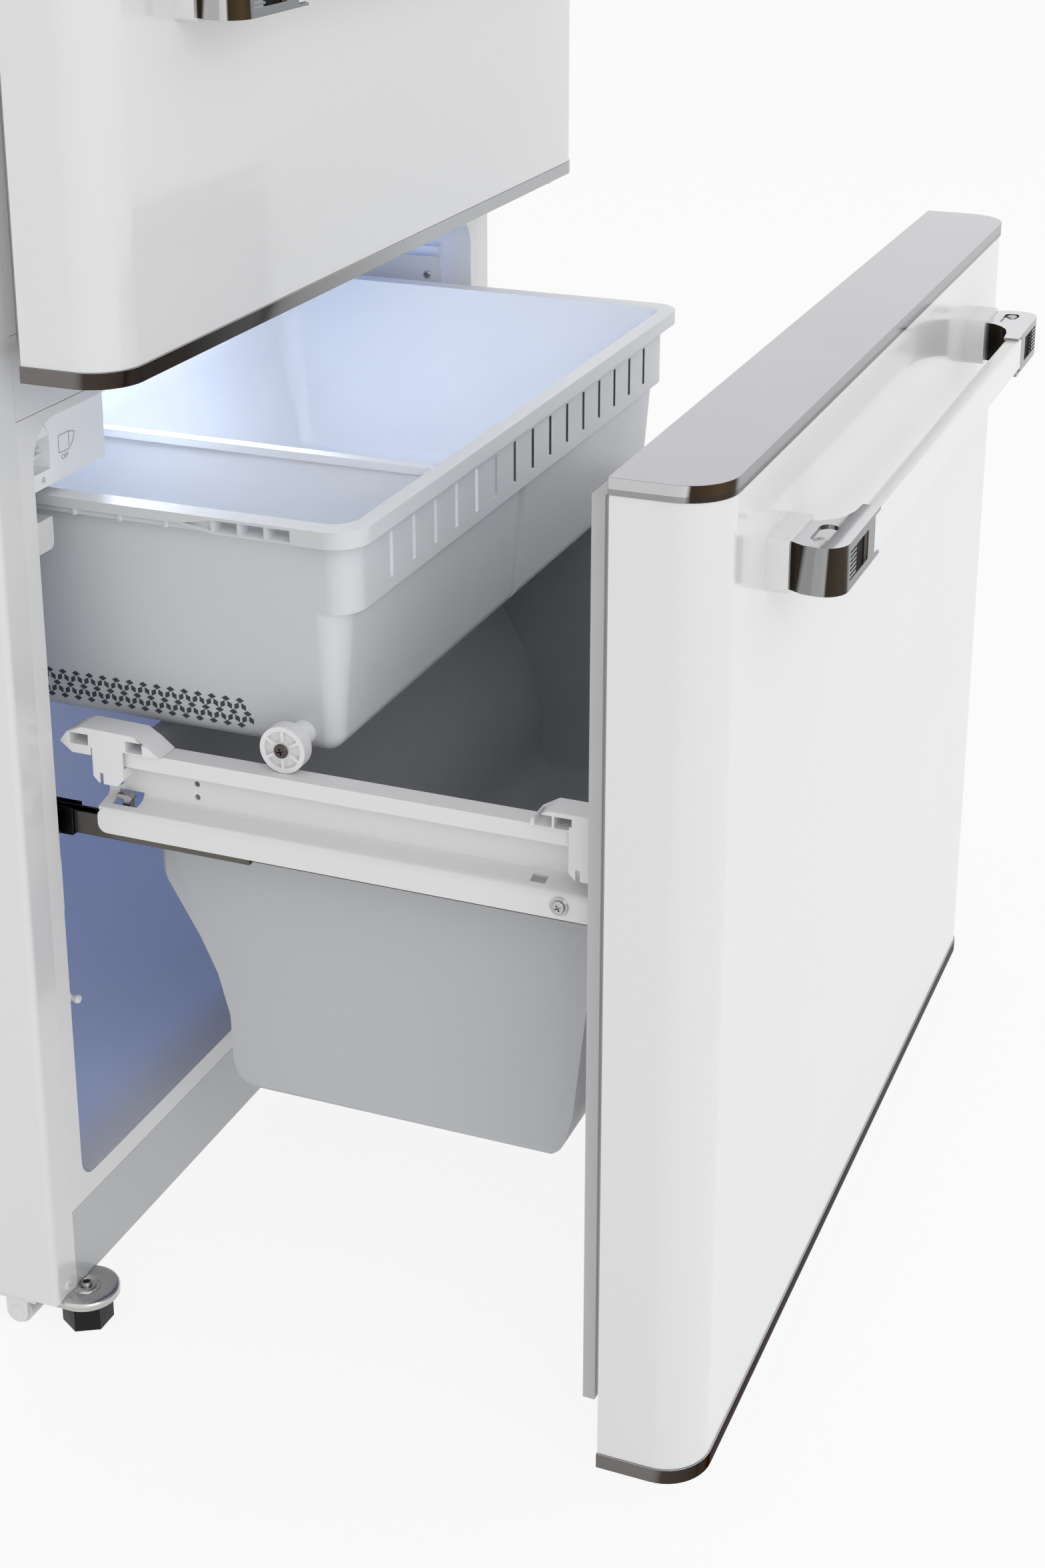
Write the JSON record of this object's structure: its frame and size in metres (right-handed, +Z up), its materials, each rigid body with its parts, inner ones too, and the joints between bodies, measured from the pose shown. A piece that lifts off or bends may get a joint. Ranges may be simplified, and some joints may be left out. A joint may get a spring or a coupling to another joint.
{
  "type": "bottom freezer refrigerator",
  "caption": "Retro gloss white refrigerator with a chrome-capped door above a pull-out freezer drawer that carries a roller basket and a deep bin",
  "frame": {"origin": "centre of the bounding box's bottom face with the freezer drawer out, at floor level", "axes": "+X to the right seen from the front, -Y out of the door's front, +Z up"},
  "size_m": [0.84, 1.185, 1.7523],
  "materials": {
    "white_enamel": "gloss white enamel on steel sheet",
    "frame_enamel": "satin white powder coat",
    "grey_sheet": "plain grey coated sheet",
    "black_steel": "black coated steel",
    "zinc_steel": "zinc plated steel",
    "chrome": "polished chrome",
    "aluminium": "bare aluminium fins",
    "dark_aluminium": "dark lacquered fins and tube",
    "liner": "vacuum formed liner, semi gloss",
    "white_plastic": "white moulded plastic",
    "basket_plastic": "fine textured white plastic",
    "grey_plastic": "light grey moulded plastic",
    "black_plastic": "black moulded plastic",
    "roller_plastic": "hard off-white plastic",
    "clear_plastic": "clear moulded plastic",
    "clear": "frosted lens",
    "handle_white": "gloss white lacquer",
    "gasket": "soft pale grey gasket",
    "foot_rubber": "black foot",
    "glass": "tempered glass",
    "foam": "rigid foam, sealed inside"
  },
  "bodies": {
    "cabinet": {"outer_shell": "white_enamel", "cabinet_foam": "foam", "back_panel": "grey_sheet", "fresh_food_liner": "liner", "freezer_liner": "liner", "mullion_trim": "white_enamel", "kick_panel": "white_enamel", "base_frame": "zinc_steel", "machine_cover": "grey_sheet", "compressor": "black_steel", "condenser_coil": "dark_aluminium", "condenser_fan_mount": "zinc_steel", "drip_tray": "black_plastic", "evaporator_coil": "aluminium", "evaporator_cover": "liner", "evaporator_fan_motor": "black_plastic", "cabinet_slides": "black_steel", "basket_rails": "white_plastic", "ice_maker_housing": "white_plastic", "control_housing": "white_plastic", "lamp_lens": "clear", "shelf_frames": "white_plastic", "shelf_glass": "glass", "crispers": "clear_plastic", "hinge_brackets": "zinc_steel", "hinge_cover": "white_plastic", "roller_brackets": "white_plastic"},
    "upper_door": {"upper_door_skin": "white_enamel", "upper_door_foam": "foam", "upper_door_liner": "liner", "upper_door_caps": "chrome", "upper_door_gasket": "gasket", "upper_handle_bar": "handle_white", "upper_handle_brackets": "chrome", "door_bins": "clear_plastic"},
    "freezer_drawer": {"drawer_skin": "white_enamel", "drawer_foam": "foam", "drawer_liner": "liner", "drawer_caps": "chrome", "drawer_end_plate": "white_plastic", "drawer_gasket": "gasket", "drawer_handle_bar": "handle_white", "drawer_handle_brackets": "chrome", "side_frames": "frame_enamel", "frame_end_caps": "white_plastic", "drawer_slides": "zinc_steel", "lower_bin": "grey_plastic"},
    "middle_slides": {"middle_slides": "zinc_steel"},
    "basket": {"basket": "basket_plastic", "basket_divider": "basket_plastic"},
    "basket_rollers": {"basket_rollers": "white_plastic"},
    "front_rollers": {"front_rollers": "roller_plastic"},
    "rear_rollers": {"rear_rollers": "roller_plastic"},
    "foot_left": {"foot_left": "foot_rubber"},
    "foot_right": {"foot_right": "foot_rubber"},
    "condenser_fan": {"condenser_fan": "black_plastic"},
    "evaporator_fan": {"evaporator_fan": "white_plastic"},
    "ice_tray": {"ice_tray": "white_plastic"},
    "ice_lever": {"ice_lever": "white_plastic"},
    "temperature_dial": {"temperature_dial": "white_plastic"}
  },
  "joints": [
    {"name": "upper_door_hinge", "type": "hinge", "parent": "cabinet", "child": "upper_door", "pos_m": [0.385, -0.1055, 1.23], "axis": [0, 0, 1], "range_deg": [0, 130]},
    {"name": "freezer_drawer_slide", "type": "slide", "parent": "cabinet", "child": "freezer_drawer", "axis": [0, -1, 0], "range_m": [-0.402, 0]},
    {"name": "middle_slides_slide", "type": "slide", "parent": "cabinet", "child": "middle_slides", "axis": [0, -1, 0], "range_m": [-0.201, 0]},
    {"name": "basket_slide", "type": "slide", "parent": "cabinet", "child": "basket", "axis": [0, -1, 0], "range_m": [-0.23, 0]},
    {"name": "basket_roller_spin", "type": "hinge", "parent": "basket", "child": "basket_rollers", "pos_m": [0, -0.2175, 0.4813], "axis": [1, 0, 0], "continuous": true},
    {"name": "front_roller_spin", "type": "hinge", "parent": "cabinet", "child": "front_rollers", "pos_m": [0, -0.0095, 0.012], "axis": [1, 0, 0], "continuous": true},
    {"name": "rear_roller_spin", "type": "hinge", "parent": "cabinet", "child": "rear_rollers", "pos_m": [0, 0.5375, 0.0135], "axis": [1, 0, 0], "continuous": true},
    {"name": "foot_left_turn", "type": "hinge", "parent": "cabinet", "child": "foot_left", "pos_m": [-0.389, -0.0535, 0.012], "axis": [0, 0, 1], "continuous": true},
    {"name": "foot_right_turn", "type": "hinge", "parent": "cabinet", "child": "foot_right", "pos_m": [0.389, -0.0535, 0.012], "axis": [0, 0, 1], "continuous": true},
    {"name": "condenser_fan_spin", "type": "hinge", "parent": "cabinet", "child": "condenser_fan", "pos_m": [0.031, 0.4625, 0.126], "axis": [1, 0, 0], "continuous": true},
    {"name": "evaporator_fan_spin", "type": "hinge", "parent": "cabinet", "child": "evaporator_fan", "pos_m": [0, 0.4405, 0.605], "axis": [0, 1, 0], "continuous": true},
    {"name": "ice_tray_turn", "type": "hinge", "parent": "cabinet", "child": "ice_tray", "pos_m": [-0.312, 0.0925, 0.67], "axis": [0, 1, 0], "range_deg": [0, 160]},
    {"name": "ice_lever_turn", "type": "hinge", "parent": "cabinet", "child": "ice_lever", "pos_m": [-0.348, -0.0245, 0.666], "axis": [1, 0, 0], "range_deg": [0, 35]},
    {"name": "temperature_dial_turn", "type": "hinge", "parent": "cabinet", "child": "temperature_dial", "pos_m": [-0.145, 0.1225, 1.64], "axis": [0, 0, 1], "range_deg": [0, 270]}
  ],
  "couplings": [
    {"joint": "middle_slides_slide", "follows": "freezer_drawer_slide", "ratio": 0.5},
    {"joint": "basket_slide", "follows": "freezer_drawer_slide", "ratio": 0.5721},
    {"joint": "basket_roller_spin", "follows": "freezer_drawer_slide", "rad_per_m": -25.17}
  ]
}
